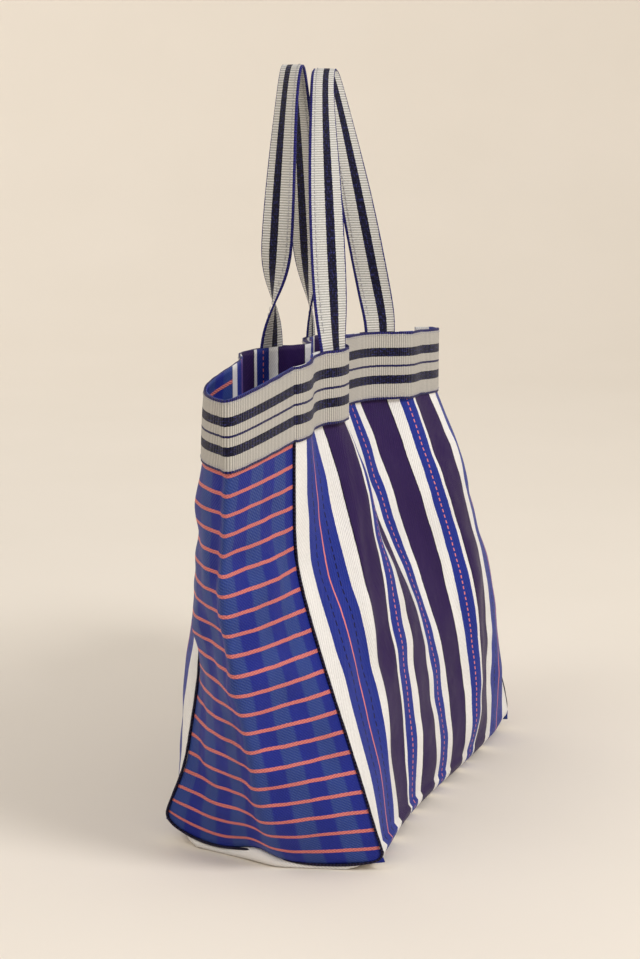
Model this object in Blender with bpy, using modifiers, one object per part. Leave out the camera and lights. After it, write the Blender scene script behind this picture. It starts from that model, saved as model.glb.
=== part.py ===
"""A striped woven tote bag with two webbing handles.

The body is one length of cloth that runs down the front, under the base and up the back.
A gusset closes each end, a bound seam joins each gusset to the body, a webbing band runs
round the rim, and each handle is webbing folded lengthwise. Its ends are sewn in between
the cloth and the band, so it folds on the line of the rim.

Metres, +Z up. The front panel faces -Y, the width runs along X, and the origin is on the
floor under the middle of the whole bag.
"""
import math

import bpy
import numpy as np

# Driving dimensions
PANEL_WIDTH = 0.400
PANEL_HEIGHT = 0.410
GUSSET_WIDTH = 0.200
BAND_HEIGHT = 0.060
HANDLE_WIDTH = 0.030
CLOTH_THICKNESS = 0.0010
WEBBING_THICKNESS = 0.0011
HANDLE_THICKNESS = 0.0022
BINDING_RADIUS = 0.0016
THREAD_RADIUS = 0.0004

# How the bag stands
CENTRE_X = -0.01413        # what brings the middle of the bounding box to the origin
CENTRE_Y = 0.00063
SEAM_X = -0.197            # both left seams stand at this x, before centring
LEAN = 0.985               # standing height gained for each metre of cloth
BASE_RADIUS = 0.014        # rounding where a panel turns under the base
SKIRT = 0.010              # cloth under the folds, next to the floor
FOLD_RUN = 0.340           # the folds grow over this height and keep their shape above it

# Clearances between pieces
SEAM_INSET = 0.0016        # each sheet stops this far short of the seam line
CORNER_RAISE = 0.006       # rounds off a gusset's two bottom corners
LAYER_GAP = 0.0006         # between cloth, handle end and band
STITCH_INSET = 0.005       # from a handle's stitched edge
THREAD_GAP = 0.0004
BINDING_GAP = 0.0013        # between the seam line and the binding

# Where the handles are sewn on, as distances along the panel from its left seam
FRONT_FEET = (0.092, 0.245)
BACK_FEET = (0.140, 0.282)
TAIL_LENGTH = 0.054

# A fold runs up a panel: its place at the rim and at the base, its depth at the rim and
# half way up (inwards is positive), and its half width
FRONT_FOLDS = (
    (0.153, 0.220, 0.040, 0.006, 0.036),
    (0.220, 0.234, 0.050, 0.018, 0.055),
    (0.073, 0.010, 0.025, -0.001, 0.039),
    (0.305, 0.278, 0.022, -0.006, 0.016),
)
BACK_FOLDS = (
    (0.190, 0.200, 0.026, 0.012, 0.040),
    (0.090, 0.080, -0.010, -0.004, 0.030),
    (0.300, 0.310, -0.008, -0.004, 0.035),
)

# How far the rim rises or drops at each seam and at the tip of each gusset
RIM_RISE = {"front": (0.006, -0.003), "back": (0.004, -0.014)}
RIM_ARCH = {"front": 0.008, "back": 0.005}
TIP_DROP = 0.014

# Handles: the middle of the loop's top, its pointedness, the turn of the webbing at its
# top, and the share of the height over which it turns
HANDLES = {
    "front": {"top": (-0.002, 0.026, 0.645), "round": 0.36, "turn": -20.0, "over": (0.00, 0.70)},
    "back": {"top": (-0.038, 0.038, 0.648), "round": 0.50, "turn": 55.0, "over": (0.04, 0.26)},
}
HANDLE_POINTS = 45


# ---------------------------------------------------------------- shape of the standing bag

def smooth(t):
    t = min(max(t, 0.0), 1.0)
    return t * t * (3.0 - 2.0 * t)


def three_point(t, at_base, at_middle, at_rim):
    """The parabola through a value at the base, half way up and at the rim."""
    base = at_base * (1 - t) * (1 - 2 * t)
    middle = 4 * at_middle * t * (1 - t)
    rim = at_rim * t * (2 * t - 1)
    return base + middle + rim


def fold_depth(folds, u, t):
    total = 0.0 * u
    for at_rim, at_base, deep_rim, deep_middle, half in folds:
        centre = at_base + (at_rim - at_base) * t
        depth = three_point(t, 0.0, deep_middle, deep_rim)
        total = total + depth * np.exp(-((u - centre) / half) ** 2)
    return total


def fold_share(h):
    """How far the folds have grown at a height, from 0 to 1."""
    return min(max(h - SKIRT, 0.0) / FOLD_RUN, 1.0)


def ease(s):
    """s where it is positive and 0 where it is not, with a rounded turn."""
    return (s + math.sqrt(s * s + 0.006)) / 2


def front_y(u, h):
    q = u / PANEL_WIDTH
    t = fold_share(h)
    near = -0.019 - 0.075 * ease(1 - (h - SKIRT) / 0.245) ** 1.1
    far = three_point(t, -0.100, -0.080, -0.024)
    wrap = 0.015 * smooth(0.2 + t * 2.5) * np.clip((u - 0.350) / 0.050, 0.0, 1.0) ** 2
    bulge = three_point(t, -0.010, 0.024, 0.034) * np.sin(np.pi * q) ** 0.7
    skew = 0.004 * np.sin(2 * np.pi * q)
    return near + (far - near) * q - bulge + skew + wrap + fold_depth(FRONT_FOLDS, u, t)


def back_y(u, h):
    q = u / PANEL_WIDTH
    t = fold_share(h)
    low = smooth((h - 0.020) / 0.060) * smooth((0.250 - h) / 0.090)
    near = 0.034 + 0.062 * max(1 - (h - SKIRT) / 0.340, 0.0) ** 0.9 - 0.008 * low
    far = 0.040 + 0.058 * max(1 - (h - SKIRT) / 0.330, 0.0) ** 1.1
    bulge = three_point(t, 0.002, 0.022, 0.022) * np.sin(np.pi * q)
    pillow = 0.056 * t * (1 - t) * np.sin(np.pi * np.minimum(q / 0.3, 1.0))
    pillow = pillow + 0.014 * low * (1 - np.exp(-u / 0.018)) * np.exp(-u / 0.200)
    return near + (far - near) * q + bulge + pillow - fold_depth(BACK_FOLDS, u, t)


FINE = np.linspace(0.0, PANEL_WIDTH, 201)
ROW_CACHE = {}


def panel_row(side, h):
    """x and y across one panel at a height, keeping the cloth's own width."""
    key = (side, round(float(h), 5))
    if key not in ROW_CACHE:
        y = front_y(FINE, h) if side == "front" else back_y(FINE, h)
        step = FINE[1] - FINE[0]
        slope = np.clip(np.diff(y) / step, -0.93, 0.93)
        y = y[0] + np.concatenate([[0.0], np.cumsum(slope * step)])
        x = SEAM_X + np.concatenate([[0.0], np.cumsum(np.sqrt(1 - slope ** 2) * step)])
        ROW_CACHE[key] = (x, y)
    return ROW_CACHE[key]


def stand(h):
    """Height above the floor of cloth that is h above the bottom seam."""
    return 0.003 + LEAN * h


def panel_point(side, u, h):
    x, y = panel_row(side, h)
    q = u / PANEL_WIDTH
    rise = RIM_RISE[side][0] * (1 - q) + RIM_RISE[side][1] * q + RIM_ARCH[side] * math.sin(math.pi * q)
    z = stand(h) + rise * (h / PANEL_HEIGHT) ** 2
    return np.array([np.interp(u, FINE, x), np.interp(u, FINE, y), z])


def seam_height(share):
    """Height of the bottom seam at an end of the bag, from its front corner to its back one."""
    peak = 0.010 * np.exp(-((share - 0.54) / 0.13) ** 2)
    return 0.003 + 0.005 * (1 - share) ** 6 + 0.018 * share ** 8 + peak


def above_seam(h, share):
    """How much higher the cloth stands than its flat height, near the bottom seam."""
    return (seam_height(share) - stand(0.0)) * max(1 - h / 0.070, 0.0) ** 2


def gusset_row(side, h, count):
    """Points across a gusset from its front seam to its back seam, evenly along the cloth."""
    u = 0.0 if side == "left" else PANEL_WIDTH
    outward = -1.0 if side == "left" else 1.0
    front, back = panel_point("front", u, h), panel_point("back", u, h)
    t = h / PANEL_HEIGHT
    across = np.linspace(-1, 1, 161)
    rounding = 0.06 + 0.14 * t
    belly = -0.30 + 1.05 * t
    turn = across + (0.10 + 0.30 * t) * (1 - across ** 2)
    flat = math.sqrt(1 + rounding ** 2)
    tent = (flat - np.sqrt(turn ** 2 + rounding ** 2)) / (flat - rounding)
    shape = (1 - belly) * tent + belly * (1 - across ** 2)
    chord = front + np.outer((across + 1) / 2, back - front)
    swell = 0.010 * t + 0.075 * t * t * (1 - t)
    chord[:, 1] += swell * np.sin(np.pi * np.clip(across, 0, 1))
    chord[:, 2] -= TIP_DROP * t ** 2 * shape
    low, high = 0.0, 0.12
    for _ in range(24):
        deep = (low + high) / 2
        row = chord.copy()
        row[:, 0] += outward * deep * shape
        run = np.concatenate([[0.0], np.cumsum(np.linalg.norm(np.diff(row[:, :2], axis=0), axis=1))])
        if run[-1] > GUSSET_WIDTH:
            high = deep
        else:
            low = deep
    row[:, 2] += above_seam(h, run / run[-1])
    even = np.linspace(0, run[-1], count)
    return np.stack([np.interp(even, run, row[:, axis]) for axis in range(3)], 1)


# ---------------------------------------------------------------- sampling the cloth

def panel_columns():
    """Distances across the panel, with one at each edge and middle of each handle's end."""
    feet = [foot + offset for foot in FRONT_FEET + BACK_FEET
            for offset in (-HANDLE_WIDTH / 2, 0.0, HANDLE_WIDTH / 2)]
    columns = set(round(foot, 4) for foot in feet)
    for column in np.linspace(SEAM_INSET, PANEL_WIDTH - SEAM_INSET, 29):
        if min(abs(column - foot) for foot in feet) > 0.006:
            columns.add(round(float(column), 4))
    return sorted(columns)


COLUMNS = panel_columns()
BAND_ROWS = (PANEL_HEIGHT - BAND_HEIGHT, PANEL_HEIGHT - BAND_HEIGHT / 2, PANEL_HEIGHT)
CORNER_RUN = math.pi * BASE_RADIUS / 4
HEIGHTS = list(np.linspace(0.030, 0.320, 9)) + list(BAND_ROWS)
GUSSET_COLUMNS = 13


def body_profile():
    """Stations along the body cloth: ("front" or "back", height) or ("base", share)."""
    corner = [CORNER_RUN, 0.0, -CORNER_RUN]
    down = [("front", h) for h in reversed(HEIGHTS)] + [("front", h) for h in corner]
    under = [("base", share) for share in (0.22, 0.41, 0.59, 0.78)]
    up = [("back", h) for h in reversed(corner)] + [("back", h) for h in HEIGHTS]
    return down + under + up


def corner_point(side, u, h):
    """A point of a panel, with the turn under the base as a quarter circle."""
    inward = 1.0 if side == "front" else -1.0
    if h >= CORNER_RUN:
        return panel_point(side, u, h)
    point = panel_point(side, u, 0.0)
    angle = (h + CORNER_RUN) / BASE_RADIUS
    point[1] += inward * BASE_RADIUS * (1 - math.sin(angle))
    point[2] = BASE_RADIUS * (1 - math.cos(angle))
    return point


END_ROWS = {side: gusset_row(side, 0.0, 41) for side in ("left", "right")}


def body_point(station, u):
    kind, value = station
    if kind == "base":
        front = corner_point("front", u, -CORNER_RUN)
        back = corner_point("back", u, -CORNER_RUN)
        point = front + (back - front) * value
        point[2] = 0.0
    else:
        value = min(value, PANEL_HEIGHT)
        point = corner_point(kind, u, value)
    side, outward = ("left", -1.0) if u < PANEL_WIDTH / 2 else ("right", 1.0)
    end = min(u, PANEL_WIDTH - u)
    near = 1 - smooth(end / 0.045)
    edge = END_ROWS[side]
    if kind == "base" or value < 0.0:
        share = np.interp(point[1], edge[:, 1], np.linspace(0, 1, len(edge)))
        bow = np.interp(point[1], edge[:, 1], edge[:, 0]) - edge[0, 0]
        low = 1 - smooth(point[2] / 0.012)
        point[0] += bow * (1 - smooth(end / 0.120)) * low
        point[2] += seam_height(share) * near * low
    else:
        point[2] += above_seam(value, 0.0 if kind == "front" else 1.0) * near
    return point


def ring(h):
    """The bag's outline at a height, anticlockwise from above, as an (n, 3) array."""
    front = [panel_point("front", u, h) for u in COLUMNS]
    back = [panel_point("back", u, h) for u in reversed(COLUMNS)]
    right = gusset_row("right", h, GUSSET_COLUMNS)[1:-1]
    left = gusset_row("left", h, GUSSET_COLUMNS)[-2:0:-1]
    return np.array(front + list(right) + back + list(left))


def outward_of(points, closed=True):
    """Level outward directions of an anticlockwise outline."""
    if closed:
        ahead, behind = np.roll(points, -1, axis=0), np.roll(points, 1, axis=0)
    else:
        ahead = np.vstack([points[1:], points[-1:]])
        behind = np.vstack([points[:1], points[:-1]])
    along = ahead - behind
    normal = np.stack([along[:, 1], -along[:, 0], np.zeros(len(points))], 1)
    return normal / np.linalg.norm(normal, axis=1, keepdims=True)


RING_PLACES = ([("front", u) for u in COLUMNS] + [("right", None)] * (GUSSET_COLUMNS - 2)
               + [("back", u) for u in reversed(COLUMNS)] + [("left", None)] * (GUSSET_COLUMNS - 2))


def band_offset(place):
    """How far the band's inner face stands off the cloth: more over a handle's end."""
    side, u = place
    plain = LAYER_GAP
    if side in ("left", "right"):
        return plain
    feet = FRONT_FEET if side == "front" else BACK_FEET
    reach = min(abs(u - foot) for foot in feet) - HANDLE_WIDTH / 2
    over = 1 - smooth((reach - 0.001) / 0.012)
    return plain + over * (HANDLE_THICKNESS + LAYER_GAP)


# ---------------------------------------------------------------- Blender helpers

def clear_scene():
    for old in list(bpy.data.objects):
        bpy.data.objects.remove(old, do_unlink=True)


def new_collection(name):
    collection = bpy.data.collections.new(name)
    bpy.context.scene.collection.children.link(collection)
    return collection


def material(name, colour, roughness):
    made = bpy.data.materials.new(name)
    made.use_nodes = True
    shader = made.node_tree.nodes["Principled BSDF"]
    shader.inputs["Base Color"].default_value = (*colour, 1.0)
    shader.inputs["Roughness"].default_value = roughness
    shader.inputs["Metallic"].default_value = 0.0
    return made


def add_object(name, data, collection, look, parent=None):
    made = bpy.data.objects.new(name, data)
    made.data.materials.append(look)
    collection.objects.link(made)
    if parent is not None:
        made.parent = parent
    return made


def centred(points):
    return np.asarray(points, dtype=float) - np.array([CENTRE_X, CENTRE_Y, 0.0])


def sheet(name, rows, thickness, collection, look, loop=False, inward=True, pivot=None, parent=None):
    """A sheet lofted through rows of points, thickened with Solidify from its given face."""
    rows = [centred(row) for row in rows]
    if pivot is not None:
        rows = [row - pivot for row in rows]
    count = len(rows[0])
    vertices = [tuple(point) for row in rows for point in row]
    faces = []
    for r in range(len(rows) - 1):
        for c in range(count if loop else count - 1):
            d = (c + 1) % count
            low, high = r * count, (r + 1) * count
            faces.append((low + c, low + d, high + d, high + c))
    mesh = bpy.data.meshes.new(name)
    mesh.from_pydata(vertices, [], faces)
    mesh.shade_smooth()
    made = add_object(name, mesh, collection, look, parent)
    solid = made.modifiers.new("thickness", "SOLIDIFY")
    solid.thickness = thickness
    solid.offset = -1.0 if inward else 1.0
    return made


def cord(name, points, radius, collection, look, closed=False, pivot=None, parent=None, resolution=2):
    """A round cord or thread along a line of points."""
    points = centred(points)
    if pivot is not None:
        points = points - pivot
    curve = bpy.data.curves.new(name, "CURVE")
    curve.dimensions = "3D"
    curve.bevel_depth = radius
    curve.bevel_resolution = resolution
    curve.use_fill_caps = not closed
    spline = curve.splines.new("POLY")
    spline.points.add(len(points) - 1)
    for place, point in zip(spline.points, points):
        place.co = (*point, 1.0)
    spline.use_cyclic_u = closed
    return add_object(name, curve, collection, look, parent)


# ---------------------------------------------------------------- body, gussets and seams

def make_body(collection, looks):
    rows = [[body_point(station, u) for u in COLUMNS] for station in reversed(body_profile())]
    return sheet("body_cloth", rows, CLOTH_THICKNESS, collection, looks["stripes"])


def make_gusset(side, collection, looks):
    rows = []
    across = np.linspace(-1, 1, GUSSET_COLUMNS)
    for h in [0.0, 2 * CORNER_RUN] + HEIGHTS:
        row = gusset_row(side, h, GUSSET_COLUMNS)
        span = np.linalg.norm(np.diff(row, axis=0), axis=1).sum()
        edge = SEAM_INSET if h > 0.0 else SEAM_INSET + CORNER_RAISE
        inset = edge / span * (GUSSET_COLUMNS - 1)
        row[0] += (row[1] - row[0]) * inset
        row[-1] += (row[-2] - row[-1]) * inset
        if h == 0.0:
            row[:, 2] += 2 * SEAM_INSET + CORNER_RAISE * across ** 6
        rows.append(row if side == "right" else row[::-1])
    return sheet(side + "_gusset", rows, CLOTH_THICKNESS, collection, looks["gusset"])


def seam_line(side):
    """The seam between a gusset and the body: down the front, under the end, up the back."""
    u = 0.0 if side == "left" else PANEL_WIDTH
    outward = -1.0 if side == "left" else 1.0
    top = PANEL_HEIGHT - BAND_HEIGHT - BINDING_RADIUS
    below = [station for station in body_profile() if station[0] == "base" or station[1] < top]
    line = []
    for station in [("front", top)] + below + [("back", top)]:
        kind, value = station
        point = body_point(station, u)
        if kind == "base":
            away = np.array([outward, 0.0, -0.5])
        else:
            facing = -1.0 if kind == "front" else 1.0
            t = max(value, 0.0) / PANEL_HEIGHT
            away = np.array([outward * (1 - 0.7 * t), facing, -0.3 * (1 - t) ** 4])
        line.append(point + away / np.linalg.norm(away) * (BINDING_RADIUS + BINDING_GAP))
    return line


def make_binding(side, collection, looks):
    return cord(side + "_seam_binding", seam_line(side), BINDING_RADIUS, collection, looks["binding"])


# ---------------------------------------------------------------- rim band and handle ends

def band_row(h, extra):
    points = ring(h)
    normals = outward_of(points)
    offsets = np.array([band_offset(place) for place in RING_PLACES])
    return points + normals * (offsets + extra)[:, None]


def make_band(collection, looks):
    rows = [band_row(h, 0.0) for h in BAND_ROWS]
    return sheet("rim_band", rows, WEBBING_THICKNESS, collection, looks["webbing"], loop=True, inward=False)


def make_band_stitching(collection, looks):
    reach = WEBBING_THICKNESS + THREAD_GAP + THREAD_RADIUS
    for name, share in (("rim_top_stitching", 0.95), ("rim_bottom_stitching", 0.05)):
        low, high = band_row(BAND_ROWS[0], reach), band_row(BAND_ROWS[2], reach)
        middle = band_row(BAND_ROWS[1], reach)
        near, part = (high, (share - 0.5) * 2) if share > 0.5 else (low, (0.5 - share) * 2)
        points = middle + (near - middle) * part
        cord(name, points, THREAD_RADIUS, collection, looks["thread"], closed=True, resolution=0)


def foot_strip(side, foot, h, extra):
    """Points across a handle's sewn end, standing off the cloth behind it."""
    reach = HANDLE_WIDTH / 2 + 0.0001
    inside = [i for i, u in enumerate(COLUMNS) if abs(u - foot) <= reach]
    wide = COLUMNS[inside[0] - 1:inside[-1] + 2]
    points = np.array([panel_point(side, u, h) for u in (wide if side == "front" else wide[::-1])])
    normals = outward_of(points, closed=False)
    return (points + normals * (LAYER_GAP + extra))[1:-1]


def foot_middle(side, foot, extra):
    """The middle of a handle's sewn end, where it leaves the rim."""
    row = foot_strip(side, foot, PANEL_HEIGHT, extra)
    return (row[0] + row[-1]) / 2


def make_tails(side, collection, looks):
    feet = FRONT_FEET if side == "front" else BACK_FEET
    for end, foot in zip(("left", "right"), feet):
        rows = [foot_strip(side, foot, h, 0.0)
                for h in (PANEL_HEIGHT - TAIL_LENGTH, BAND_ROWS[1], PANEL_HEIGHT - 0.0005)]
        sheet(side + "_handle_" + end + "_end", rows, HANDLE_THICKNESS, collection, looks["handle"],
              inward=False)


# ---------------------------------------------------------------- handles

def hinge_line(side):
    """The line on which a handle folds: through its two feet, at the rim's outer edge."""
    feet = FRONT_FEET if side == "front" else BACK_FEET
    reach = HANDLE_THICKNESS + 2 * LAYER_GAP + WEBBING_THICKNESS
    ends = [foot_middle(side, foot, reach) for foot in feet]
    return ends[0], ends[1]


def handle_frame(side):
    """Centre line of a handle and the level direction across its webbing at each point."""
    spec = HANDLES[side]
    feet = FRONT_FEET if side == "front" else BACK_FEET
    ends = [foot_middle(side, foot, HANDLE_THICKNESS / 2) for foot in feet]
    top = np.array(spec["top"])
    start = top[2] - max(ends[0][2], ends[1][2]) - 0.0032
    sharp = spec["round"]
    across = math.degrees(math.atan2(ends[1][1] - ends[0][1], ends[1][0] - ends[0][0]))
    line, widths = [], []
    for i in range(HANDLE_POINTS):
        s = -1 + 2 * i / (HANDLE_POINTS - 1)
        drop = (math.sqrt(s * s + sharp ** 2) - sharp) / (math.sqrt(1 + sharp ** 2) - sharp)
        point = top + (ends[1] - ends[0]) / 2 * s + ((ends[0] + ends[1]) / 2 - top) * drop
        point[2] = top[2] - start * drop
        q = 1 - drop
        low, high = spec["over"]
        angle = math.radians(across + (spec["turn"] - across) * smooth((q - low) / (high - low)))
        line.append(point)
        widths.append(np.array([math.cos(angle), math.sin(angle), 0.0]))
    return np.array(line), np.array(widths)


def make_handle(side, collection, looks, pivot_empty):
    line, widths = handle_frame(side)
    along = np.gradient(line, axis=0)
    along /= np.linalg.norm(along, axis=1, keepdims=True)
    face = np.cross(along, widths)
    face /= np.linalg.norm(face, axis=1, keepdims=True)
    half = HANDLE_WIDTH / 2
    inner = line - face * HANDLE_THICKNESS / 2
    seam = half - STITCH_INSET
    rows = [inner + widths * across for across in (-half, -seam, 0.0, half)]
    pivot = np.array(pivot_empty.location)
    sheet(side + "_handle", rows, HANDLE_THICKNESS, collection, looks["handle"], inward=True,
          pivot=pivot, parent=pivot_empty)
    lift = HANDLE_THICKNESS / 2 + THREAD_GAP + THREAD_RADIUS
    stitch = (line - widths * seam + face * lift)[1:-1]
    cord(side + "_handle_stitching", stitch, THREAD_RADIUS, collection, looks["thread"],
         pivot=pivot, parent=pivot_empty, resolution=0)


def make_pivot(side, collection):
    first, second = hinge_line(side)
    pivot = bpy.data.objects.new(side + "_handle_fold_axis", None)
    pivot.location = tuple(centred((first + second) / 2))
    collection.objects.link(pivot)
    return pivot


# ---------------------------------------------------------------- the whole bag

def make_looks():
    return {
        "stripes": material("striped_cloth", (0.16, 0.16, 0.42), 0.45),
        "gusset": material("gusset_cloth", (0.04, 0.06, 0.35), 0.45),
        "binding": material("seam_binding", (0.02, 0.02, 0.05), 0.5),
        "webbing": material("rim_webbing", (0.55, 0.53, 0.50), 0.6),
        "handle": material("handle_webbing", (0.70, 0.69, 0.67), 0.6),
        "thread": material("sewing_thread", (0.60, 0.60, 0.62), 0.6),
    }


def main():
    clear_scene()
    bag = new_collection("striped_tote_bag")
    guides = new_collection("guides")
    looks = make_looks()
    make_body(bag, looks)
    for side in ("left", "right"):
        make_gusset(side, bag, looks)
        make_binding(side, bag, looks)
    make_band(bag, looks)
    make_band_stitching(bag, looks)
    for side in ("front", "back"):
        make_tails(side, bag, looks)
        pivot = make_pivot(side, guides)
        make_handle(side, bag, looks, pivot)
    bpy.context.view_layer.update()


main()
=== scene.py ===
"""A striped woven tote bag standing on a pale floor, its two webbing handles leaning together.

Sizes are in metres. The cloth is built from the CAD frame's shape functions, and a few of the
fold and handle values differ from the frame's by some millimetres. Every row of a panel keeps
its cut width, so the stripes run and narrow as they would on real cloth.
"""

import math

import bpy
import numpy as np
from mathutils import Matrix, Vector, noise


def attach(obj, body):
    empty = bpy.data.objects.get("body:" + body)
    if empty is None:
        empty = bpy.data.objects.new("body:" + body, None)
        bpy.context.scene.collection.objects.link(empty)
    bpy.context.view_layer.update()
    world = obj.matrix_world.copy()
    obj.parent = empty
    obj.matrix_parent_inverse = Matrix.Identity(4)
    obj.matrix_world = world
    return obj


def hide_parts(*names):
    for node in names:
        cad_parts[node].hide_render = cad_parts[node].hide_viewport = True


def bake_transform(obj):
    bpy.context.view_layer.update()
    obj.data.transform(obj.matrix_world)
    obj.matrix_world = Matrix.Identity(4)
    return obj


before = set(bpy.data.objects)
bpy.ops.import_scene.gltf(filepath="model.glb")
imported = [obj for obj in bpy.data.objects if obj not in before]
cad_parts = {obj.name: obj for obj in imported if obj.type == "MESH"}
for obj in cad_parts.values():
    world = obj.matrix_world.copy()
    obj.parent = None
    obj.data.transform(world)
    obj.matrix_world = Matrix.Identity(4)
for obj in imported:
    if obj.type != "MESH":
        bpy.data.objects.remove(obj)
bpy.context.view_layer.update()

# ---------------------------------------------------------------- sizes

PANEL_WIDTH = 0.400
PANEL_HEIGHT = 0.410
BODY_LENGTH = 1.020
GUSSET_WIDTH = 0.200
BAND_HEIGHT = 0.060
HANDLE_WIDTH = 0.030
CLOTH_THICKNESS = 0.0008
WEBBING_THICKNESS = 0.0010
HANDLE_THICKNESS = 0.0022
CENTRE = np.array([-0.01413, 0.00063, 0.0])
SEAM_X = -0.197
LEAN = 0.985
BASE_RADIUS = 0.014
SKIRT = 0.010              # cloth under the folds, next to the floor
FOLD_RUN = 0.340           # the folds grow over this height and keep their shape above it
LAYER_GAP = 0.0006
FRONT_FEET = (0.092, 0.245)
BACK_FEET = (0.140, 0.282)
TAIL_LENGTH = 0.054         # a handle's sewn end, under the band
ARCH_START = 0.0032         # the arch of a handle starts this far above its higher foot
BEND_ROOM = 0.0018          # more room under the band where the front left foot bridges a bend

# A fold: its place at the rim and at the base, its depth at the rim and half way up
# (inwards is positive), and its half width
FRONT_FOLDS = (
    (0.153, 0.220, 0.040, 0.006, 0.036),
    (0.220, 0.234, 0.050, 0.018, 0.055),
    (0.073, 0.010, 0.025, -0.001, 0.039),
    (0.305, 0.278, 0.008, -0.006, 0.020),
    (0.093, 0.059, -0.002, -0.004, 0.010),
)
BACK_FOLDS = (
    (0.190, 0.200, 0.026, 0.012, 0.040),
    (0.090, 0.080, -0.010, -0.004, 0.030),
    (0.300, 0.310, -0.008, -0.004, 0.035),
)
RIM_RISE = {"front": (0.006, -0.003), "back": (0.004, -0.014)}
TIP_DROP = 0.014
RIM_ARCH = {"front": 0.008, "back": 0.005}
HANDLES = {
    "front": {"top": (-0.002, 0.024, 0.645), "round": 0.36, "turn": -20.0, "over": (0.00, 0.70),
              "middle": -34.0},
    "back": {"top": (-0.038, 0.040, 0.648), "round": 0.50, "turn": 55.0, "over": (0.04, 0.36),
             "middle": 28.0},
}

# ---------------------------------------------------------------- shape of the standing bag


def smooth(t):
    t = min(max(t, 0.0), 1.0)
    return t * t * (3.0 - 2.0 * t)


def three_point(t, at_base, at_middle, at_rim):
    """The parabola through a value at the base, half way up and at the rim."""
    base = at_base * (1 - t) * (1 - 2 * t)
    middle = 4 * at_middle * t * (1 - t)
    rim = at_rim * t * (2 * t - 1)
    return base + middle + rim


def fold_depth(folds, u, t):
    total = 0.0 * u
    for at_rim, at_base, deep_rim, deep_middle, half in folds:
        centre = at_base + (at_rim - at_base) * t
        depth = three_point(t, 0.0, deep_middle, deep_rim)
        total = total + depth * np.exp(-((u - centre) / half) ** 2)
    return total


def fold_share(h):
    """How far the folds have grown at a height, from 0 to 1."""
    return min(max(h - SKIRT, 0.0) / FOLD_RUN, 1.0)


def ease(s):
    """s where it is positive and 0 where it is not, with a rounded turn."""
    return (s + math.sqrt(s * s + 0.006)) / 2


def front_y(u, h):
    q = u / PANEL_WIDTH
    t = fold_share(h)
    near = -0.019 - 0.075 * ease(1 - (h - SKIRT) / 0.245) ** 1.1
    far = three_point(t, -0.100, -0.080, -0.024)
    wrap = 0.015 * smooth(0.2 + t * 2.5) * np.clip((u - 0.350) / 0.050, 0.0, 1.0) ** 2
    bulge = three_point(t, -0.010, 0.024, 0.034) * np.sin(np.pi * q) ** 0.7
    skew = 0.004 * np.sin(2 * np.pi * q)
    return near + (far - near) * q - bulge + skew + wrap + fold_depth(FRONT_FOLDS, u, t)


def back_y(u, h):
    q = u / PANEL_WIDTH
    t = fold_share(h)
    low = smooth((h - 0.020) / 0.060) * smooth((0.225 - h) / 0.090)
    near = 0.034 + 0.062 * max(1 - (h - SKIRT) / 0.340, 0.0) ** 0.9 - 0.008 * low
    far = 0.040 + 0.058 * max(1 - (h - SKIRT) / 0.330, 0.0) ** 1.1
    bulge = three_point(t, 0.002, 0.022, 0.022) * np.sin(np.pi * q)
    pillow = 0.056 * t * (1 - t) * np.sin(np.pi * np.minimum(q / 0.3, 1.0))
    pillow = pillow + 0.010 * low * (1 - np.exp(-u / 0.018)) * np.exp(-u / 0.200)
    return near + (far - near) * q + bulge + pillow - fold_depth(BACK_FOLDS, u, t)


FINE = np.linspace(0.0, PANEL_WIDTH, 401)
ROW_CACHE = {}


def panel_row(side, h):
    """x and y across one panel at a height, keeping the cloth's own width."""
    key = (side, round(float(h), 5))
    if key not in ROW_CACHE:
        y = front_y(FINE, h) if side == "front" else back_y(FINE, h)
        step = FINE[1] - FINE[0]
        slope = np.clip(np.diff(y) / step, -0.93, 0.93)
        y = y[0] + np.concatenate([[0.0], np.cumsum(slope * step)])
        x = SEAM_X + np.concatenate([[0.0], np.cumsum(np.sqrt(1 - slope ** 2) * step)])
        ROW_CACHE[key] = (x, y)
    return ROW_CACHE[key]


def panel_points(side, us, h):
    """Points of a panel at one height, as an (n, 3) array."""
    us = np.asarray(us, dtype=float)
    x, y = panel_row(side, h)
    q = us / PANEL_WIDTH
    rise = RIM_RISE[side][0] * (1 - q) + RIM_RISE[side][1] * q
    rise = rise + RIM_ARCH[side] * np.sin(np.pi * q)
    z = 0.003 + LEAN * h + rise * (h / PANEL_HEIGHT) ** 2
    return np.stack([np.interp(us, FINE, x), np.interp(us, FINE, y), z], 1)


def seam_height(share):
    """Height of the bottom seam at an end of the bag, from its front corner to its back one."""
    peak = 0.010 * np.exp(-((share - 0.54) / 0.13) ** 2)
    return 0.003 + 0.005 * (1 - share) ** 6 + 0.018 * share ** 8 + peak


def above_seam(h, share):
    """How much higher the cloth stands than its flat height, near the bottom seam."""
    return (seam_height(share) - 0.003) * max(1 - h / 0.070, 0.0) ** 2


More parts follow.
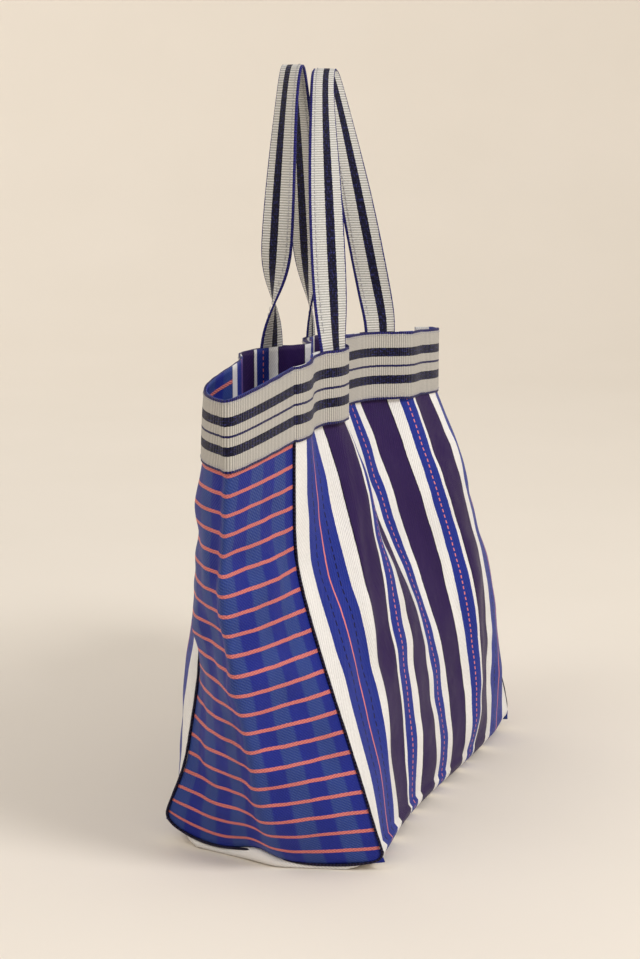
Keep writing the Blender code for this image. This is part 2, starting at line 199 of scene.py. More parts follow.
def gusset_row(side, h, shares):
    """Points across a gusset at the given shares of its width, from front seam to back seam."""
    u = 0.0 if side == "left" else PANEL_WIDTH
    outward = -1.0 if side == "left" else 1.0
    front, back = panel_points("front", [u], h)[0], panel_points("back", [u], h)[0]
    t = h / PANEL_HEIGHT
    across = np.linspace(-1, 1, 241)
    rounding = 0.06 + 0.14 * t
    belly = -0.30 + 1.05 * t
    turn = across + (0.10 + 0.30 * t) * (1 - across ** 2)
    flat = math.sqrt(1 + rounding ** 2)
    tent = (flat - np.sqrt(turn ** 2 + rounding ** 2)) / (flat - rounding)
    shape = (1 - belly) * tent + belly * (1 - across ** 2)
    chord = front + np.outer((across + 1) / 2, back - front)
    swell = 0.010 * t + 0.075 * t * t * (1 - t)
    chord[:, 1] += swell * np.sin(np.pi * np.clip(across, 0, 1))
    chord[:, 2] -= TIP_DROP * t ** 2 * shape
    low, high = 0.0, 0.12
    for _ in range(24):
        deep = (low + high) / 2
        row = chord.copy()
        row[:, 0] += outward * deep * shape
        steps = np.linalg.norm(np.diff(row[:, :2], axis=0), axis=1)
        run = np.concatenate([[0.0], np.cumsum(steps)])
        if run[-1] > GUSSET_WIDTH:
            high = deep
        else:
            low = deep
    row[:, 2] += above_seam(h, run / run[-1])
    places = np.asarray(shares) * run[-1]
    return np.stack([np.interp(places, run, row[:, axis]) for axis in range(3)], 1)


CORNER_RUN = math.pi * BASE_RADIUS / 4


def corner_points(side, us, h):
    """Points of a panel, with the turn under the base as a quarter circle."""
    inward = 1.0 if side == "front" else -1.0
    if h >= CORNER_RUN:
        return panel_points(side, us, h)
    points = panel_points(side, us, 0.0)
    angle = (h + CORNER_RUN) / BASE_RADIUS
    points[:, 1] += inward * BASE_RADIUS * (1 - math.sin(angle))
    points[:, 2] = BASE_RADIUS * (1 - math.cos(angle))
    return points


END_ROWS = {side: gusset_row(side, 0.0, np.linspace(0, 1, 81)) for side in ("left", "right")}
LIP_TURN = math.radians(150)     # how far the base cloth curls from the bottom seam to the floor


def base_lip(end, height):
    """Outward shift and height of the base cloth at a distance from the bottom seam.

    The cloth leaves the seam downwards and a little outwards and curls under on one arc.
    """
    radius = height / (1 - math.cos(LIP_TURN))
    arc = LIP_TURN * radius
    turn = max(LIP_TURN - end / radius, 0.0)
    shift = radius * (math.sin(turn) - math.sin(LIP_TURN)) + min(end, arc)
    fade = 1 - smooth((end - arc) / 0.100)
    return shift * fade, radius * (1 - math.cos(turn)), fade


def body_row(kind, value, us):
    """One row across the body cloth: on a panel at a height, or at a share across the base."""
    us = np.asarray(us, dtype=float)
    if kind == "base":
        front = corner_points("front", us, -CORNER_RUN)
        back = corner_points("back", us, -CORNER_RUN)
        points = front + (back - front) * value
        points[:, 2] = 0.0
    else:
        points = corner_points(kind, us, value)
    for point, u in zip(points, us):
        side, outward = ("left", -1.0) if u < PANEL_WIDTH / 2 else ("right", 1.0)
        end = min(u, PANEL_WIDTH - u)
        edge = END_ROWS[side]
        if kind == "base" or value < 0.0:
            share = np.interp(point[1], edge[:, 1], np.linspace(0, 1, len(edge)))
            bow = outward * (np.interp(point[1], edge[:, 1], edge[:, 0]) - edge[0, 0])
            shift, height, fade = base_lip(end, seam_height(share))
            plain = 0.003 + (seam_height(share) - 0.003) * (1 - smooth(end / 0.045))
            curled = smooth(min(value, 1 - value) / 0.08) if kind == "base" else 0.0
            low = 1 - smooth(point[2] / 0.012)
            point[0] += outward * (bow * fade + shift * curled) * low
            point[2] += (height * curled + plain * (1 - smooth(end / 0.045)) * (1 - curled)) * low
        else:
            share = 0.0 if kind == "front" else 1.0
            point[2] += above_seam(value, share) * (1 - smooth(end / 0.045))
    return points


def outward_of(points, closed=True):
    """Level outward directions of an anticlockwise outline."""
    if closed:
        along = np.roll(points, -1, axis=0) - np.roll(points, 1, axis=0)
    else:
        along = np.gradient(points, axis=0)
    normal = np.stack([along[:, 1], -along[:, 0], np.zeros(len(points))], 1)
    return normal / np.linalg.norm(normal, axis=1, keepdims=True)


def crinkle(points, scale, seed):
    """A smooth random number for each point, from -1 to 1, the same on every run."""
    shift = Vector((seed * 7.3, seed * 3.1, seed * 5.7))
    return np.array([noise.noise(Vector(point) / scale + shift) for point in points])


# ---------------------------------------------------------------- meshes


def grid_mesh(name, rows, uvs, loop=False):
    """A sheet through rows of points, with the cloth's own coordinates, in metres, as its UVs."""
    rows = np.asarray(rows) - CENTRE
    count = rows.shape[1]
    faces, corners = [], []
    last = count if loop else count - 1
    for r in range(len(rows) - 1):
        for c in range(last):
            d = (c + 1) % count
            faces.append((r * count + c, r * count + d, (r + 1) * count + d, (r + 1) * count + c))
            corners += [(r, c), (r, c + 1), (r + 1, c + 1), (r + 1, c)]
    mesh = bpy.data.meshes.new(name)
    mesh.from_pydata(rows.reshape(-1, 3).tolist(), [], faces)
    layer = mesh.uv_layers.new(name="Cloth")
    flat = [value for r, c in corners for value in uvs[r][c]]
    layer.data.foreach_set("uv", flat)
    mesh.shade_smooth()
    made = bpy.data.objects.new(name, mesh)
    bpy.context.scene.collection.objects.link(made)
    return made


def uv_grid(across, along):
    """UVs for a grid whose columns lie at across and rows at along."""
    return [[(float(a), float(b)) for a in across] for b in along]


def thicken(piece, thickness, offset):
    solid = piece.modifiers.new("thickness", "SOLIDIFY")
    solid.thickness = thickness
    solid.offset = offset


def settle(piece):
    """Applies the modifiers, so that the mesh is final."""
    graph = bpy.context.evaluated_depsgraph_get()
    mesh = bpy.data.meshes.new_from_object(piece.evaluated_get(graph))
    mesh.name = piece.name
    piece.modifiers.clear()
    piece.data = mesh
    return piece


def vertex_normals(rows, loop=False):
    """Unit normals of a grid of points, from its neighbours."""
    rows = np.asarray(rows)
    if loop:
        across = np.roll(rows, -1, axis=1) - np.roll(rows, 1, axis=1)
    else:
        across = np.gradient(rows, axis=1)
    normal = np.cross(across, np.gradient(rows, axis=0))
    return normal / np.maximum(np.linalg.norm(normal, axis=2, keepdims=True), 1e-9)


# ---------------------------------------------------------------- patterns as formulas


class Num:
    """A number in a material's node tree, so that a pattern reads as a formula."""

    def __init__(self, tree, socket):
        self.tree = tree
        self.socket = socket

    def op(self, operation, *others, clamp=False):
        node = self.tree.nodes.new("ShaderNodeMath")
        node.operation = operation
        node.use_clamp = clamp
        for place, item in zip(node.inputs, (self,) + others):
            if isinstance(item, Num):
                self.tree.links.new(item.socket, place)
            else:
                place.default_value = item
        return Num(self.tree, node.outputs[0])

    def __add__(self, other):
        return self.op("ADD", other)

    def __sub__(self, other):
        return self.op("SUBTRACT", other)

    def __mul__(self, other):
        return self.op("MULTIPLY", other)

    def __truediv__(self, other):
        return self.op("DIVIDE", other)

    def absolute(self):
        return self.op("ABSOLUTE")

    def fraction(self):
        return self.op("FRACT")

    def sine(self):
        return self.op("SINE")

    def most(self, other):
        return self.op("MAXIMUM", other)

    def clamp(self):
        return self.op("MULTIPLY", 1.0, clamp=True)

    def stripe(self, centre, width, soft=0.0002):
        """1 within a stripe of that width, 0 outside, with soft edges."""
        away = (self - centre).absolute()
        return ((away * -1.0 + width / 2) / soft + 0.5).clamp()


def rgb(red, green, blue):
    """A colour from its 0 to 255 screen values."""
    def linear(value):
        value /= 255
        return value / 12.92 if value <= 0.04045 else ((value + 0.055) / 1.055) ** 2.4
    return (linear(red), linear(green), linear(blue), 1.0)


class Look:
    """A material under construction."""

    def __init__(self, name, roughness, sheen=0.0):
        self.material = bpy.data.materials.new(name)
        self.material.use_nodes = True
        self.tree = self.material.node_tree
        self.shader = self.tree.nodes["Principled BSDF"]
        self.shader.inputs["Roughness"].default_value = roughness
        self.shader.inputs["Sheen Weight"].default_value = sheen
        self.shader.inputs["Sheen Roughness"].default_value = 0.4
        self.shader.inputs["Specular IOR Level"].default_value = 0.12

    def cloth(self):
        """Distances across and along the cloth, in metres."""
        uv = self.tree.nodes.new("ShaderNodeUVMap")
        uv.uv_map = "Cloth"
        split = self.tree.nodes.new("ShaderNodeSeparateXYZ")
        self.tree.links.new(uv.outputs[0], split.inputs[0])
        return Num(self.tree, split.outputs[0]), Num(self.tree, split.outputs[1])

    def place(self, u, v):
        """A point from two numbers."""
        join = self.tree.nodes.new("ShaderNodeCombineXYZ")
        self.tree.links.new(u.socket, join.inputs[0])
        self.tree.links.new(v.socket, join.inputs[1])
        return join.outputs[0]

    def noise(self, point, scale, detail=2.0):
        node = self.tree.nodes.new("ShaderNodeTexNoise")
        node.inputs["Scale"].default_value = scale
        node.inputs["Detail"].default_value = detail
        self.tree.links.new(point, node.inputs["Vector"])
        return Num(self.tree, node.outputs[0])

    def steps(self, factor, stops):
        """A hard-edged run of colours: (where it starts, colour), over 0 to 1."""
        ramp = self.tree.nodes.new("ShaderNodeValToRGB")
        ramp.color_ramp.interpolation = "CONSTANT"
        marks = ramp.color_ramp.elements
        marks.remove(marks[1])
        marks[0].position, marks[0].color = stops[0]
        for position, colour in stops[1:]:
            marks.new(position).color = colour
        self.tree.links.new(factor.socket, ramp.inputs[0])
        return ramp.outputs[0]

    def mix(self, share, first, second, blend="MIX"):
        node = self.tree.nodes.new("ShaderNodeMix")
        node.data_type = "RGBA"
        node.blend_type = blend
        sockets = (node.inputs[0], node.inputs[6], node.inputs[7])
        for place, item in zip(sockets, (share, first, second)):
            if isinstance(item, Num):
                self.tree.links.new(item.socket, place)
            elif isinstance(item, (tuple, float, int)):
                place.default_value = item
            else:
                self.tree.links.new(item, place)
        return node.outputs[2]

    def grey(self, number):
        """A number as a colour, for multiplying."""
        join = self.tree.nodes.new("ShaderNodeCombineXYZ")
        for place in join.inputs:
            self.tree.links.new(number.socket, place)
        return join.outputs[0]

    def shade(self, colour, number):
        """The colour times a number."""
        return self.mix(1.0, colour, self.grey(number), "MULTIPLY")

    def bump(self, height, distance, below=None):
        node = self.tree.nodes.new("ShaderNodeBump")
        node.inputs["Strength"].default_value = 1.0
        node.inputs["Distance"].default_value = distance
        self.tree.links.new(height.socket, node.inputs["Height"])
        if below is not None:
            self.tree.links.new(below, node.inputs["Normal"])
        return node.outputs[0]

    def finish(self, colour, normal=None, roughness=None):
        self.tree.links.new(colour, self.shader.inputs["Base Color"])
        if normal is not None:
            self.tree.links.new(normal, self.shader.inputs["Normal"])
        if roughness is not None:
            self.tree.links.new(roughness.socket, self.shader.inputs["Roughness"])
        return self.material


WHITE = rgb(233, 232, 231)
PURPLE = rgb(46, 28, 78)
BLUE = rgb(34, 50, 142)
BLACK = rgb(16, 12, 26)
PINK = rgb(226, 132, 124)

TAPE = 0.0013        # width of one woven tape
LINE_PITCH = 0.0167  # between the gusset's pink lines


def woven(u, v, pitch):
    """Height of a twill of narrow tapes, 0 to 1."""
    across = (u * (2 * math.pi / pitch)).sine()
    diagonal = ((u * 1.4 + v) * (2 * math.pi / (pitch * 2.6))).sine()
    return across * 0.20 + diagonal * 0.30 + 0.5


def striped_cloth():
    look = Look("striped_cloth", 0.42)
    u, v = look.cloth()
    wander = look.noise(look.place(u * 0.3, v), 160.0) - 0.5
    m = ((u - PANEL_WIDTH / 2) + wander * 0.0008).absolute()
    half = PANEL_WIDTH / 2
    stops = [(0.0, BLUE), (0.009, WHITE), (0.021, PURPLE), (0.053, WHITE), (0.065, BLUE),
             (0.083, WHITE), (0.088, PURPLE), (0.120, WHITE), (0.135, BLUE), (0.181, WHITE)]
    colour = look.steps(m / half, [(start / half, shade) for start, shade in stops])
    edges = m.stripe(0.0212, 0.0009)
    for line in (0.0528, 0.0882, 0.1198):
        edges = edges.most(m.stripe(line, 0.0009))
    colour = look.mix(edges, colour, BLACK)
    dashes = ((v / 0.0052).fraction() - 0.5).absolute().stripe(0.0, 0.56, 0.08)
    dotted = m.stripe(0.0, 0.0013).most(m.stripe(0.074, 0.0013)) * dashes
    colour = look.mix(dotted.most(m.stripe(0.158, 0.0017)), colour, PINK)
    dark = m.stripe(0.1465, 0.0013).most(m.stripe(0.1695, 0.0013))
    dark_dashes = ((v / 0.0070).fraction() - 0.5).absolute().stripe(0.0, 0.64, 0.08)
    colour = look.mix(dark * dark_dashes, colour, BLACK)
    weave = woven(u, v, TAPE)
    grain = look.noise(look.place(u * 4.0, v), 420.0, 3.0)
    # Painted sheen: noise patches brighten the cloth's colour in places, standing in for the shine
    # of the plastic.
    sheen_patches = look.noise(look.place(u, v * 0.4), 38.0, 2.0)
    tone = weave * 0.34 + grain * 0.44 + sheen_patches * 0.30 + 0.46
    colour = look.shade(colour, tone)
    soft = look.bump(look.noise(look.place(u, v), 26.0, 2.0), 0.0030)
    fine = look.bump(weave + grain * 0.6, 0.00022, soft)
    return look.finish(colour, fine)


def gusset_cloth():
    look = Look("gusset_cloth", 0.42)
    u, v = look.cloth()
    wander = (look.noise(look.place(u, v), 60.0) - 0.5) * 0.0012
    bands = ((u * (2 * math.pi / 0.034)).sine() * 2.5 + 0.5).clamp()
    hatch = ((u * 0.6 + v) * (2 * math.pi / 0.0026)).sine() * 0.5 + 0.5
    colour = look.mix(bands, rgb(32, 42, 136), rgb(40, 60, 134))
    colour = look.mix(hatch * (bands * 0.34 + 0.10), colour, rgb(76, 96, 150))
    row = ((v * -1.0 + (PANEL_HEIGHT - BAND_HEIGHT) + wander) / LINE_PITCH).fraction() * LINE_PITCH
    rope = ((u - v * 2.2) * (2 * math.pi / 0.0042)).sine()
    line = row.stripe(0.0020, 0.0031)
    pink = look.mix(rope * 0.28 + 0.28, PINK, rgb(176, 84, 104))
    colour = look.mix(line, colour, pink)
    weave = woven(u, v, TAPE)
    grain = look.noise(look.place(u * 4.0, v), 420.0, 3.0)
    # Painted sheen: noise patches brighten the plaid's colour in places, as on the striped cloth.
    sheen_patches = look.noise(look.place(u, v), 30.0, 2.0)
    colour = look.shade(colour, weave * 0.36 + grain * 0.44 + sheen_patches * 0.36 + 0.40)
    soft = look.bump(look.noise(look.place(u, v), 24.0, 2.0), 0.0035)
    fine = look.bump(weave + grain * 0.6 + line * (rope * 0.8 + 1.0), 0.00025, soft)
    return look.finish(colour, fine)


def webbing(name, white, navy):
    """Ribbed webbing, 60 mm wide: u runs along it and v across, from edge to edge."""
    look = Look(name, 0.62, sheen=0.15)
    u, v = look.cloth()
    rib = (u * (2 * math.pi / 0.0022)).sine() * 0.5 + 0.5
    yarn = (v * (2 * math.pi / 0.0012)).sine() * 0.5 + 0.5
    wander = (look.noise(look.place(u, v * 0.2), 420.0) - 0.5) * 0.0009
    m = (v - BAND_HEIGHT / 2 + wander).absolute()
    half = BAND_HEIGHT / 2
    stops = [(0.0, navy), (0.00085, white), (0.0083, rgb(22, 20, 44)), (0.0160, white),
             (0.0279, navy)]
    colour = look.steps(m / half, [(start / half, shade) for start, shade in stops])
    fleck = look.noise(look.place(u * 0.6, v * 1.6), 520.0, 2.0)
    dark = m.stripe(0.01215, 0.0074)
    colour = look.mix(dark * ((fleck - 0.52) * 7.0).clamp() * 0.8, colour, rgb(58, 60, 128))
    braid = m.stripe(0.0290, 0.0022) * ((u / 0.0030).fraction().stripe(0.5, 0.5, 0.1))
    colour = look.mix(braid * 0.6, colour, rgb(56, 52, 140))
    grain = look.noise(look.place(u, v), 700.0, 3.0)
    tone = (rib * 0.50 + 0.54) * (yarn * 0.10 + 0.90) * (grain * 0.30 + 0.90)
    colour = look.shade(colour, tone)
    return look.finish(colour, look.bump(rib + yarn * 0.35 + grain * 0.4, 0.00050))


def bound_edge():
    look = Look("seam_binding", 0.5)
    u, v = look.cloth()
    stitch = ((v / 0.0030).fraction() - 0.5).absolute().stripe(0.0, 0.42, 0.08)
    colour = look.mix(stitch * 0.6, rgb(20, 16, 34), rgb(56, 50, 84))
    grain = look.noise(look.place(u, v), 600.0)
    colour = look.shade(colour, grain * 0.5 + 0.75)
    return look.finish(colour, look.bump(stitch + grain, 0.0004))


def thread_look():
    look = Look("sewing_thread", 0.55)
    where = look.tree.nodes.new("ShaderNodeTexCoord")
    grain = look.noise(where.outputs["Object"], 1500.0)
    return look.finish(look.shade(rgb(178, 176, 182), grain * 0.4 + 0.8))


# ---------------------------------------------------------------- the pieces


def crumpled(rows, fade, amounts, seed):
    """Rows moved along their normals by smooth noise: (size, depth) pairs, scaled by fade."""
    rows = np.asarray(rows)
    normals = vertex_normals(rows)
    flat = rows.reshape(-1, 3)
    push = sum(depth * crinkle(flat, size, seed + i) for i, (size, depth) in enumerate(amounts))
    return rows + normals * (push.reshape(rows.shape[:2]) * fade)[..., None]


def body_stations():
    """(kind, value, distance along the cloth) from the front rim, under the base, to the back."""
    heights = list(np.linspace(PANEL_HEIGHT, 0.022, 87))
    heights += list(np.linspace(0.018, -CORNER_RUN, 9))
    run = [PANEL_HEIGHT - h for h in heights]
    front = [("front", h, s) for h, s in zip(heights, run)]
    span = 2 * (BODY_LENGTH / 2 - run[-1])
    base = [("base", share, run[-1] + span * share) for share in np.linspace(0, 1, 22)[1:-1]]
    back = [("back", h, BODY_LENGTH - s) for (_, h, s) in reversed(front)]
    return front + base + back


def make_body(look):
    columns = np.linspace(0.0, PANEL_WIDTH, 201)
    stations = body_stations()
    rows = [body_row(kind, value, columns) for kind, value, _ in stations]
    edge = np.minimum(columns, PANEL_WIDTH - columns)
    across = np.array([smooth(e / 0.03) for e in edge])
    along = np.array([smooth((0.345 - value) / 0.05) * smooth(value / 0.03)
                      if kind != "base" else 0.0 for kind, value, _ in stations])
    rows = crumpled(rows, np.outer(along, across), ((0.055, 0.0035), (0.022, 0.0012)), 1)
    rows = rows[::-1]
    uvs = uv_grid(columns, [s for _, _, s in stations][::-1])
    piece = grid_mesh("striped_body", rows, uvs)
    thicken(piece, CLOTH_THICKNESS, -1.0)
    return finish_piece(piece, look, "bag", ["body_cloth"])


def make_gusset(side, look):
    shares = np.linspace(0.0, 1.0, 91)
    heights = np.linspace(0.0, PANEL_HEIGHT, 121)
    rows = [gusset_row(side, h, shares) for h in heights]
    edge = np.minimum(shares, 1 - shares) * GUSSET_WIDTH
    across = np.array([smooth(e / 0.03) for e in edge])
    along = np.array([smooth((0.345 - h) / 0.05) * smooth(h / 0.05) for h in heights])
    seed = 5 if side == "left" else 9
    rows = crumpled(rows, np.outer(along, across), ((0.050, 0.0050), (0.020, 0.0020)), seed)
    if side == "left":
        rows = rows[:, ::-1]
    piece = grid_mesh(side + "_gusset_cloth", rows, uv_grid(shares * GUSSET_WIDTH, heights))
    thicken(piece, CLOTH_THICKNESS, -1.0)
    return finish_piece(piece, look, "bag", [side + "_gusset"])


def ring(h, columns, shares):
    """The bag's outline at a height, anticlockwise from above, from the front left seam."""
    front = panel_points("front", columns, h)
    right = gusset_row("right", h, shares)[1:-1]
    back = panel_points("back", columns, h)[::-1]
    left = gusset_row("left", h, shares)[::-1][1:-1]
    return np.concatenate([front, right, back, left])


def band_offsets(columns, shares):
    """How far the band's inner face stands off the cloth: more over a handle's end."""
    def over(feet):
        reach = np.min([np.abs(columns - foot) for foot in feet], axis=0) - HANDLE_WIDTH / 2
        share = np.array([1 - smooth((r - 0.001) / 0.036) for r in reach])
        return LAYER_GAP + share * (HANDLE_THICKNESS + LAYER_GAP)
    plain = np.full(len(shares) - 2, LAYER_GAP)
    bent = BEND_ROOM * np.exp(-((columns - FRONT_FEET[0]) / 0.022) ** 2)
    return np.concatenate([over(FRONT_FEET) + bent, plain, over(BACK_FEET)[::-1], plain])


def band_rows(extra, tops):
    columns, shares = np.linspace(0, PANEL_WIDTH, 161), np.linspace(0, 1, 81)
    offsets = band_offsets(columns, shares)
    rows = []
    for share in tops:
        points = ring(PANEL_HEIGHT - BAND_HEIGHT * (1 - share), columns, shares)
        rows.append(points + outward_of(points) * (offsets + extra)[:, None])
    return np.array(rows)


def make_band(look):
    shares = np.linspace(0.0, 1.0, 25)
    rows = band_rows(WEBBING_THICKNESS / 2, shares)
    wobble = 0.0006 * crinkle(rows[-1], 0.012, 3)
    for k, share in enumerate(shares):
        rows[k][:, 2] += wobble * (share ** 8 + (1 - share) ** 8)
    steps = np.linalg.norm(np.roll(rows[12], -1, axis=0) - rows[12], axis=1)
    run = np.concatenate([[0.0], np.cumsum(steps)])
    piece = grid_mesh("rim_webbing", rows, uv_grid(run, shares * BAND_HEIGHT), loop=True)
    thicken(piece, WEBBING_THICKNESS, 0.0)
    return finish_piece(piece, look, "bag", ["rim_band"])


# ---------------------------------------------------------------- handles


def foot_strip(side, foot, h):
    """Nine points across a handle's sewn end, off the cloth behind it, and the way across."""
    us = np.linspace(foot - HANDLE_WIDTH / 2, foot + HANDLE_WIDTH / 2, 9)
    points = panel_points(side, us if side == "front" else us[::-1], h)
    points = points + outward_of(points, closed=False) * (LAYER_GAP + HANDLE_THICKNESS / 2)
    way = (points[-1] - points[0]) * (1.0 if side == "front" else -1.0)
    return points, way / np.linalg.norm(way)


def handle_path(side):
    """Centre line of a strap from one sewn end to the other, and the direction across it."""
    spec = HANDLES[side]
    feet = FRONT_FEET if side == "front" else BACK_FEET
    ends, starts = [], []
    for foot in feet:
        strip, way = foot_strip(side, foot, PANEL_HEIGHT)
        ends.append((strip[0] + strip[-1]) / 2)
        starts.append(math.atan2(way[1], way[0]))
    top = np.array(spec["top"])
    rise = top[2] - max(ends[0][2], ends[1][2]) - ARCH_START
    sharp = spec["round"]
    low, high = spec["over"]
    turn, middle = math.radians(spec["turn"]), math.radians(spec["middle"])
    lines, widths = [], []
    for s in np.linspace(-1, 1, 121):
        drop = (math.sqrt(s * s + sharp ** 2) - sharp) / (math.sqrt(1 + sharp ** 2) - sharp)
        point = top + (ends[1] - ends[0]) / 2 * s + ((ends[0] + ends[1]) / 2 - top) * drop
        point[2] = top[2] - rise * drop
        start = starts[0] if s < 0 else starts[1]
        start += (turn - start) * smooth((1 - drop - low) / (high - low))
        # 27 / 4 makes the largest value of drop * drop * (1 - drop) one
        angle = start + middle * (27 / 4) * drop * drop * (1 - drop)
        lines.append(point)
        widths.append([math.cos(angle), math.sin(angle), 0.0])
    for which, foot in enumerate(feet):
        tail_points, tail_widths = [], []
        for h in np.linspace(PANEL_HEIGHT - 0.006, PANEL_HEIGHT - TAIL_LENGTH, 10):
            strip, way = foot_strip(side, foot, h)
            tail_points.append(strip[4])
            tail_widths.append(way)
        if which == 0:
            lines, widths = tail_points[::-1] + lines, tail_widths[::-1] + widths
        else:
            lines, widths = lines + tail_points, widths + tail_widths
    lines, widths = np.array(lines), np.array(widths)
    for _ in range(6):
        lines[1:-1] = (lines[:-2] + 2 * lines[1:-1] + lines[2:]) / 4
        widths[1:-1] = (widths[:-2] + 2 * widths[1:-1] + widths[2:]) / 4
    widths /= np.linalg.norm(widths, axis=1, keepdims=True)
    return lines, widths


def strap_profile():
    """The folded webbing's cross-section: (across, off the middle, distance over the webbing).

    It runs from one selvedge to the fold and back to the other, half a turn at the fold.
    """
    half, gap = HANDLE_WIDTH / 2, (HANDLE_THICKNESS - WEBBING_THICKNESS) / 2
    points = [(share, gap * (0.55 + 0.45 * math.sin(math.pi * (share + half) / HANDLE_WIDTH)))
              for share in np.linspace(-half, half - gap, 10)]
    turns = np.linspace(0, math.pi, 7)[1:-1]
    bend = [(half - gap + gap * math.sin(a), gap * math.cos(a)) for a in turns]
    full = points + bend + [(x, -y) for x, y in reversed(points)]
    run = np.concatenate([[0.0], np.cumsum([math.dist(a, b) for a, b in zip(full, full[1:])])])
    return np.array(full), run / run[-1] * BAND_HEIGHT


def make_handle(side, look, thread):
    line, widths = handle_path(side)
    along = np.gradient(line, axis=0)
    along /= np.linalg.norm(along, axis=1, keepdims=True)
    face = np.cross(along, widths)
    face /= np.linalg.norm(face, axis=1, keepdims=True)
    profile, over = strap_profile()
    run = np.concatenate([[0.0], np.cumsum(np.linalg.norm(np.diff(line, axis=0), axis=1))])
    rows = np.array([[point + w * x + f * y for x, y in profile]
                     for point, w, f in zip(line, widths, face)])
    uvs = [[(float(s), float(t)) for t in over] for s in run]
    piece = grid_mesh(side + "_handle_strap", rows, uvs)
    thicken(piece, WEBBING_THICKNESS * 0.92, 0.0)
    settle(piece)
    body = side + "_handle"
    finish_piece(piece, look, None,
                 [body, body + "_left_end", body + "_right_end"])
    cross(piece)
    seam = stitches(side + "_handle_seam", line, widths, face, thread)
    cross(seam)
    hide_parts(body + "_stitching")


def cross(piece):
    """Bakes the piece's placement into its mesh."""
    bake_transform(piece)


def stitches(name, line, widths, face, look):
    """A row of stitches along the open edge, seen on both faces of the strap."""
    middle = (line[:-1] + line[1:]) / 2
    clear = 12      # no stitches on the sewn ends, which hold ten of the rows
    vertices, faces = [], []
    for i in range(clear, len(middle) - clear):
        along = line[i + 1] - line[i]
        length = np.linalg.norm(along)
        along = along / length
        for sign in (1.0, -1.0):
            centre = middle[i] - widths[i] * (HANDLE_WIDTH / 2 - 0.005) + face[i] * sign * 0.00125
            add_stitch(vertices, faces, centre, along, widths[i], face[i] * sign, length * 0.36)
    return stitch_mesh(name, vertices, faces, look)


def add_stitch(vertices, faces, centre, along, across, up, half):
    """One stitch: a low pillow that dips into the cloth at both ends."""
    start = len(vertices)
    arch = ((-1.0, -0.6), (-0.55, 0.6), (0.0, 1.0), (0.55, 0.6), (1.0, -0.6))
    for step, (run, high) in enumerate(arch):
        middle = centre + along * half * run + up * 0.00022 * high
        for angle in range(6):
            a = math.pi * angle / 3
            side, lift = 0.00036 * math.cos(a), 0.00030 * math.sin(a)
            vertices.append(tuple(middle + across * side + up * lift))
        if step:
            low, high_row = start + (step - 1) * 6, start + step * 6
            for k in range(6):
                n = (k + 1) % 6
                faces.append((low + k, low + n, high_row + n, high_row + k))
    faces.append(tuple(start + k for k in reversed(range(6))))
    faces.append(tuple(start + 24 + k for k in range(6)))


def stitch_mesh(name, vertices, faces, look):
    mesh = bpy.data.meshes.new(name)
    mesh.from_pydata([tuple(np.array(v) - CENTRE) for v in vertices], [], faces)
    mesh.shade_smooth()
    mesh.materials.append(look)
    made = bpy.data.objects.new(name, mesh)
    bpy.context.scene.collection.objects.link(made)
    return made


def make_band_stitches(name, share, node, look):
    """Stitches round the rim at a share of the band's height."""
    line = band_rows(WEBBING_THICKNESS + 0.0001, [share])[0]
    outward = outward_of(line)
    steps = np.linalg.norm(np.roll(line, -1, axis=0) - line, axis=1)
    run = np.concatenate([[0.0], np.cumsum(steps)])
    closed = np.vstack([line, line[:1]])
    normals = np.vstack([outward, outward[:1]])
    vertices, faces = [], []
    pitch = 0.0042
    for place in np.arange(0.0, run[-1] - pitch, pitch):
        here = np.array([np.interp(place, run, closed[:, k]) for k in range(3)])
        there = np.array([np.interp(place + 0.001, run, closed[:, k]) for k in range(3)])
        up = np.array([np.interp(place, run, normals[:, k]) for k in range(3)])
        along = (there - here) / np.linalg.norm(there - here)
        add_stitch(vertices, faces, here, along, np.cross(up, along), up, pitch * 0.36)
    piece = stitch_mesh(name, vertices, faces, look)
    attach(piece, "bag")
    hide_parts(node)


# ---------------------------------------------------------------- bound seams


def seam_path(side):
    """The seam between a gusset and the body, with the direction away from the bag."""
    u = 0.0 if side == "left" else PANEL_WIDTH
    outward = -1.0 if side == "left" else 1.0
    line, aways, run = [], [], []
    for kind, value, s in body_stations():
        if kind != "base" and value > PANEL_HEIGHT - BAND_HEIGHT + 0.004:
            continue
        point = body_row(kind, value, [u])[0]
        if kind == "base":
            away = np.array([outward, 0.0, -0.5])
        else:
            facing = -1.0 if kind == "front" else 1.0
            facing *= 1.0 if side == "left" else -0.4
            t = max(value, 0.0) / PANEL_HEIGHT
            away = np.array([outward * (1 - 0.7 * t), facing, -0.3 * (1 - t) ** 4])
        line.append(point)
        aways.append(away / np.linalg.norm(away))
        run.append(s)
    return np.array(line), np.array(aways), np.array(run)


def make_binding(side, look):
    line, away, run = seam_path(side)
    for _ in range(8):
        line[1:-1] = (line[:-2] + 2 * line[1:-1] + line[2:]) / 4
    along = np.gradient(line, axis=0)
    along /= np.linalg.norm(along, axis=1, keepdims=True)
    across = np.cross(along, away)
    across /= np.linalg.norm(across, axis=1, keepdims=True)
    wobble = 1 + 0.25 * crinkle(line, 0.008, 12)
    rows, uvs = [], []
    corners = np.linspace(0, 2 * math.pi, 13)
    for i, point in enumerate(line):
        width, height = 0.0011 * wobble[i], 0.0012 * wobble[i]
        middle = point + away[i] * 0.0012
        rows.append([middle + across[i] * width * math.cos(a) + away[i] * height * math.sin(a)
                     for a in corners])
        uvs.append([(float(a) * 0.002, float(run[i])) for a in corners])
    piece = grid_mesh(side + "_seam_ridge", rows, uvs)
    return finish_piece(piece, look, "bag", [side + "_seam_binding"])


def finish_piece(piece, look, body, nodes):
    """Material, body and the frame's nodes that the piece stands for."""
    piece.data.materials.clear()
    piece.data.materials.append(look)
    if body is not None:
        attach(piece, body)
    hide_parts(*nodes)
    return piece


# ---------------------------------------------------------------- floor, light and camera


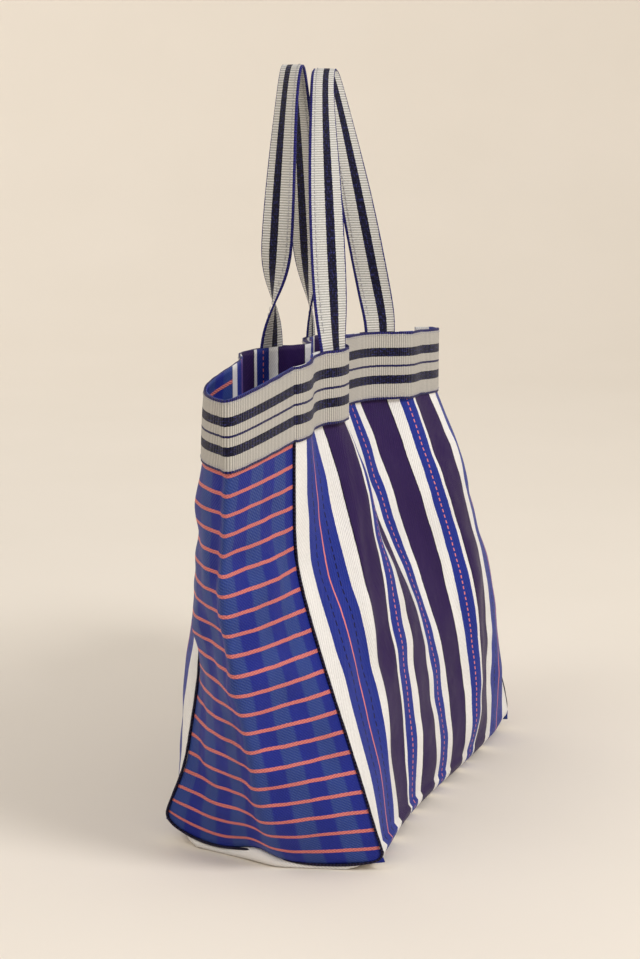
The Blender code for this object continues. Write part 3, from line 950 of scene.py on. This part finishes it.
def make_backdrop():
    """A floor that curves up into a wall all the way round, so that no horizon shows."""
    profile = [(0.0, 0.0), (1.6, 0.0), (2.6, 0.0), (3.0, 0.03), (3.4, 0.13), (3.8, 0.34),
               (4.1, 0.68), (4.3, 1.2), (4.4, 1.9), (4.45, 2.8)]
    around = np.linspace(0, 2 * math.pi, 97)[:-1]
    rows = [[(r * math.cos(a), r * math.sin(a), z) for a in around] for r, z in profile]
    uvs = [[(float(a), float(r)) for a in np.linspace(0, 2 * math.pi, 97)] for r, _ in profile]
    floor = grid_mesh("floor", np.array(rows) + CENTRE, uvs, loop=True)
    look = Look("pale_floor", 0.9)
    where = look.tree.nodes.new("ShaderNodeTexCoord")
    mottle = look.noise(where.outputs["Object"], 3.0)
    colour = look.mix(mottle, rgb(236, 228, 216), rgb(240, 232, 221))
    look.finish(colour)
    floor.data.materials.append(look.material)


def area_light(name, place, aim, size, power, colour):
    data = bpy.data.lights.new(name, "AREA")
    data.shape = "DISK"
    data.size = size
    data.energy = power
    data.color = colour
    made = bpy.data.objects.new(name, data)
    made.location = place
    made.rotation_euler = (Vector(aim) - Vector(place)).to_track_quat("-Z", "Y").to_euler()
    bpy.context.scene.collection.objects.link(made)


def make_light():
    world = bpy.data.worlds.new("studio")
    world.use_nodes = True
    background = world.node_tree.nodes["Background"]
    background.inputs["Color"].default_value = (1.0, 0.98, 0.955, 1.0)
    background.inputs["Strength"].default_value = 0.62
    bpy.context.scene.world = world
    area_light("key", (-0.9, -2.4, 2.5), (0.0, 0.0, 0.25), 1.1, 52.0, (1.0, 0.99, 0.98))
    area_light("top", (-1.6, 1.2, 2.8), (0.0, 0.0, 0.3), 1.6, 16.0, (1.0, 0.99, 0.98))
    area_light("wall", (1.6, 2.4, 2.7), (4.2, 1.2, 0.8), 2.4, 20.0, (1.0, 0.98, 0.95))


def make_camera():
    """The camera is 1.8 m from the bag, level with the handles' tops, and looks slightly down."""
    forward = Vector((0.92399, 0.32902, -0.19492)).normalized()
    right = forward.cross(Vector((0, 0, 1))).normalized()
    up = right.cross(forward)
    turn = Matrix((right, up, -forward)).transposed().to_4x4()
    data = bpy.data.cameras.new("photo_view")
    data.lens = 75.08
    data.sensor_width = 36.0
    made = bpy.data.objects.new("photo_view", data)
    made.matrix_world = Matrix.Translation(Vector((-1.6549, -0.5658, 0.634))) @ turn
    bpy.context.scene.collection.objects.link(made)
    bpy.context.scene.camera = made


def main():
    bpy.context.scene.view_settings.view_transform = "Standard"
    stripes, plaid = striped_cloth(), gusset_cloth()
    band_look = webbing("rim_webbing", rgb(208, 204, 197), rgb(34, 32, 88))
    handle_look = webbing("handle_webbing", rgb(228, 227, 223), rgb(40, 40, 120))
    thread = thread_look()
    edge = bound_edge()
    body = make_body(stripes)
    for side in ("left", "right"):
        gusset = make_gusset(side, plaid)
        make_binding(side, edge)
    band = make_band(band_look)
    make_band_stitches("rim_top_stitches", 0.95, "rim_top_stitching", thread)
    make_band_stitches("rim_bottom_stitches", 0.05, "rim_bottom_stitching", thread)
    for side in ("front", "back"):
        make_handle(side, handle_look, thread)
    make_backdrop()
    make_light()
    make_camera()


main()
